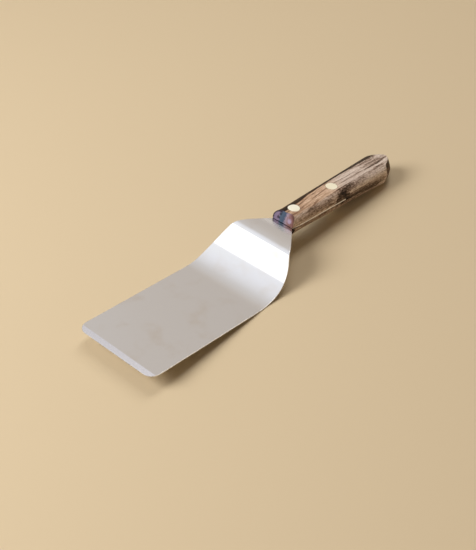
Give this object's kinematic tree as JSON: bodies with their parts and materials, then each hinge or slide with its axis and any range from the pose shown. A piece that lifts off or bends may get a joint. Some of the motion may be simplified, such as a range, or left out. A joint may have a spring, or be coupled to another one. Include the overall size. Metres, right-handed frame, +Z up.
{
  "type": "offset turner",
  "caption": "Kitchen turner with a square steel blade, bent up at the heel into a tapered neck and a riveted walnut handle with a pointed butt.",
  "frame": {"origin": "middle of the underside of the bounding box, on the surface the tool lies on", "axes": "+X from the blade's front edge to the handle's butt, +Y to the tool's left, +Z up as the tool lies on its heel and butt"},
  "size_m": [0.2904, 0.07, 0.0292],
  "materials": {
    "steel": "fine brushed stainless sheet with a ground front edge",
    "walnut": "oiled walnut with dark growth layers along its length",
    "brass": "pale brass heads ground flush with the wood"
  },
  "bodies": {
    "root": {"blade": "steel", "handle": "walnut", "rivet_pin_front": "brass", "rivet_barrel_front": "brass", "rivet_pin_rear": "brass", "rivet_barrel_rear": "brass"}
  },
  "joints": []
}
